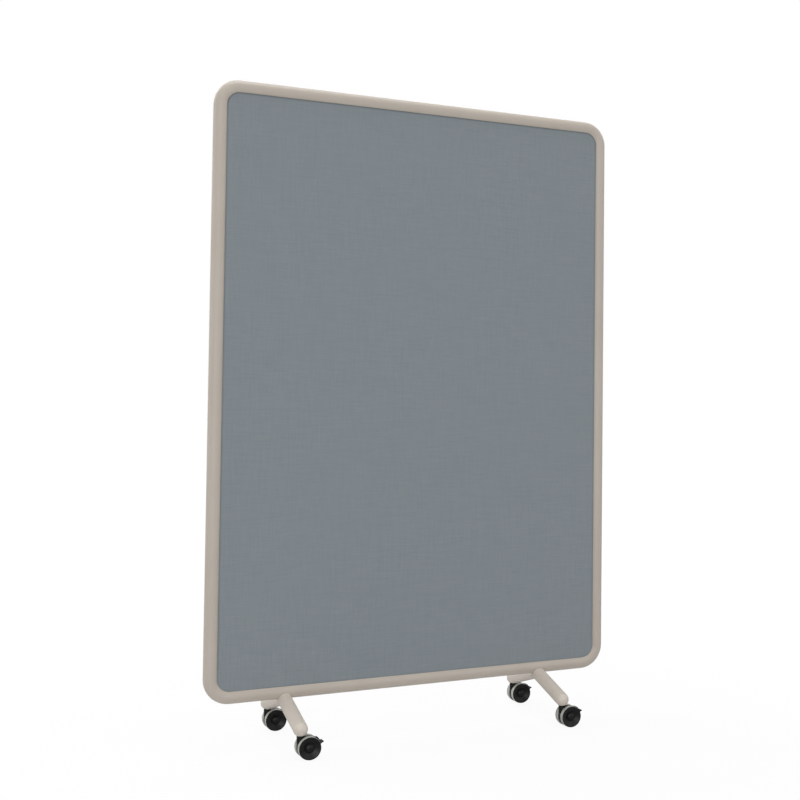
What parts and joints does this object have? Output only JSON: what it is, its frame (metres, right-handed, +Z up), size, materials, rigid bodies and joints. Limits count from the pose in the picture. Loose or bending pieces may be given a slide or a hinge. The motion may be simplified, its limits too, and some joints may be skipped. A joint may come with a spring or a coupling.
{
  "type": "rolling partition",
  "caption": "Freestanding office screen: a plain fabric-faced panel in a round-cornered tube frame, on inverted-V legs with braked twin-wheel swivel casters.",
  "frame": {"origin": "on the floor under the middle of the board", "axes": "+X along the board, -Y is the front, +Z up"},
  "size_m": [1.2, 0.382, 1.8],
  "materials": {
    "frame_paint": "fine-textured satin powder coat",
    "leg_paint": "fine-textured satin powder coat",
    "panel_fabric": "plain fine weave, matt",
    "board_fibre": "raw fibreboard",
    "core_fibre": "raw core board",
    "bare_steel": "bright",
    "zinc_steel": "zinc plated",
    "spring_steel": "oiled",
    "black_steel": "black oxide",
    "black_nylon": "fine-grained moulding",
    "pedal_nylon": "fine-grained moulding",
    "grey_tread": "soft satin polyurethane"
  },
  "bodies": {
    "frame": {"frame_tube": "frame_paint", "panel_core": "core_fibre", "front_board": "board_fibre", "rear_board": "board_fibre", "front_fabric": "panel_fabric", "rear_fabric": "panel_fabric", "panel_tabs": "bare_steel", "tab_screws": "zinc_steel", "left_leg": "leg_paint", "right_leg": "leg_paint", "leg_bushes": "bare_steel", "leg_bolts": "black_steel", "front_left_stem": "zinc_steel", "front_left_grip_ring": "spring_steel", "front_left_clip": "spring_steel", "front_right_stem": "zinc_steel", "front_right_grip_ring": "spring_steel", "front_right_clip": "spring_steel", "rear_left_stem": "zinc_steel", "rear_left_grip_ring": "spring_steel", "rear_left_clip": "spring_steel", "rear_right_stem": "zinc_steel", "rear_right_grip_ring": "spring_steel", "rear_right_clip": "spring_steel"},
    "front_left_caster": {"front_left_body": "black_nylon", "front_left_axle": "zinc_steel", "front_left_pin": "zinc_steel"},
    "front_left_wheel_f": {"front_left_front_wheel": "black_nylon", "front_left_front_tread": "grey_tread"},
    "front_left_wheel_r": {"front_left_rear_wheel": "black_nylon", "front_left_rear_tread": "grey_tread"},
    "front_left_brake": {"front_left_pedal": "pedal_nylon"},
    "front_right_caster": {"front_right_body": "black_nylon", "front_right_axle": "zinc_steel", "front_right_pin": "zinc_steel"},
    "front_right_wheel_f": {"front_right_front_wheel": "black_nylon", "front_right_front_tread": "grey_tread"},
    "front_right_wheel_r": {"front_right_rear_wheel": "black_nylon", "front_right_rear_tread": "grey_tread"},
    "front_right_brake": {"front_right_pedal": "pedal_nylon"},
    "rear_left_caster": {"rear_left_body": "black_nylon", "rear_left_axle": "zinc_steel", "rear_left_pin": "zinc_steel"},
    "rear_left_wheel_f": {"rear_left_front_wheel": "black_nylon", "rear_left_front_tread": "grey_tread"},
    "rear_left_wheel_r": {"rear_left_rear_wheel": "black_nylon", "rear_left_rear_tread": "grey_tread"},
    "rear_left_brake": {"rear_left_pedal": "pedal_nylon"},
    "rear_right_caster": {"rear_right_body": "black_nylon", "rear_right_axle": "zinc_steel", "rear_right_pin": "zinc_steel"},
    "rear_right_wheel_f": {"rear_right_front_wheel": "black_nylon", "rear_right_front_tread": "grey_tread"},
    "rear_right_wheel_r": {"rear_right_rear_wheel": "black_nylon", "rear_right_rear_tread": "grey_tread"},
    "rear_right_brake": {"rear_right_pedal": "pedal_nylon"}
  },
  "joints": [
    {"name": "front_left_swivel", "type": "hinge", "parent": "frame", "child": "front_left_caster", "pos_m": [-0.383, -0.167, 0.05], "axis": [0, 0, 1], "continuous": true},
    {"name": "front_left_spin_f", "type": "hinge", "parent": "front_left_caster", "child": "front_left_wheel_f", "pos_m": [-0.363, -0.167, 0.03], "axis": [0, 1, 0], "continuous": true},
    {"name": "front_left_spin_r", "type": "hinge", "parent": "front_left_caster", "child": "front_left_wheel_r", "pos_m": [-0.363, -0.167, 0.03], "axis": [0, 1, 0], "continuous": true},
    {"name": "front_left_brake_press", "type": "hinge", "parent": "front_left_caster", "child": "front_left_brake", "pos_m": [-0.345, -0.167, 0.05145], "axis": [0, 1, 0], "range_deg": [-12, 2.5]},
    {"name": "front_right_swivel", "type": "hinge", "parent": "frame", "child": "front_right_caster", "pos_m": [0.383, -0.167, 0.05], "axis": [0, 0, 1], "continuous": true},
    {"name": "front_right_spin_f", "type": "hinge", "parent": "front_right_caster", "child": "front_right_wheel_f", "pos_m": [0.403, -0.167, 0.03], "axis": [0, 1, 0], "continuous": true},
    {"name": "front_right_spin_r", "type": "hinge", "parent": "front_right_caster", "child": "front_right_wheel_r", "pos_m": [0.403, -0.167, 0.03], "axis": [0, 1, 0], "continuous": true},
    {"name": "front_right_brake_press", "type": "hinge", "parent": "front_right_caster", "child": "front_right_brake", "pos_m": [0.421, -0.167, 0.05145], "axis": [0, 1, 0], "range_deg": [-12, 2.5]},
    {"name": "rear_left_swivel", "type": "hinge", "parent": "frame", "child": "rear_left_caster", "pos_m": [-0.383, 0.167, 0.05], "axis": [0, 0, 1], "continuous": true},
    {"name": "rear_left_spin_f", "type": "hinge", "parent": "rear_left_caster", "child": "rear_left_wheel_f", "pos_m": [-0.363, 0.167, 0.03], "axis": [0, 1, 0], "continuous": true},
    {"name": "rear_left_spin_r", "type": "hinge", "parent": "rear_left_caster", "child": "rear_left_wheel_r", "pos_m": [-0.363, 0.167, 0.03], "axis": [0, 1, 0], "continuous": true},
    {"name": "rear_left_brake_press", "type": "hinge", "parent": "rear_left_caster", "child": "rear_left_brake", "pos_m": [-0.345, 0.167, 0.05145], "axis": [0, 1, 0], "range_deg": [-12, 2.5]},
    {"name": "rear_right_swivel", "type": "hinge", "parent": "frame", "child": "rear_right_caster", "pos_m": [0.383, 0.167, 0.05], "axis": [0, 0, 1], "continuous": true},
    {"name": "rear_right_spin_f", "type": "hinge", "parent": "rear_right_caster", "child": "rear_right_wheel_f", "pos_m": [0.403, 0.167, 0.03], "axis": [0, 1, 0], "continuous": true},
    {"name": "rear_right_spin_r", "type": "hinge", "parent": "rear_right_caster", "child": "rear_right_wheel_r", "pos_m": [0.403, 0.167, 0.03], "axis": [0, 1, 0], "continuous": true},
    {"name": "rear_right_brake_press", "type": "hinge", "parent": "rear_right_caster", "child": "rear_right_brake", "pos_m": [0.421, 0.167, 0.05145], "axis": [0, 1, 0], "range_deg": [-12, 2.5]}
  ]
}
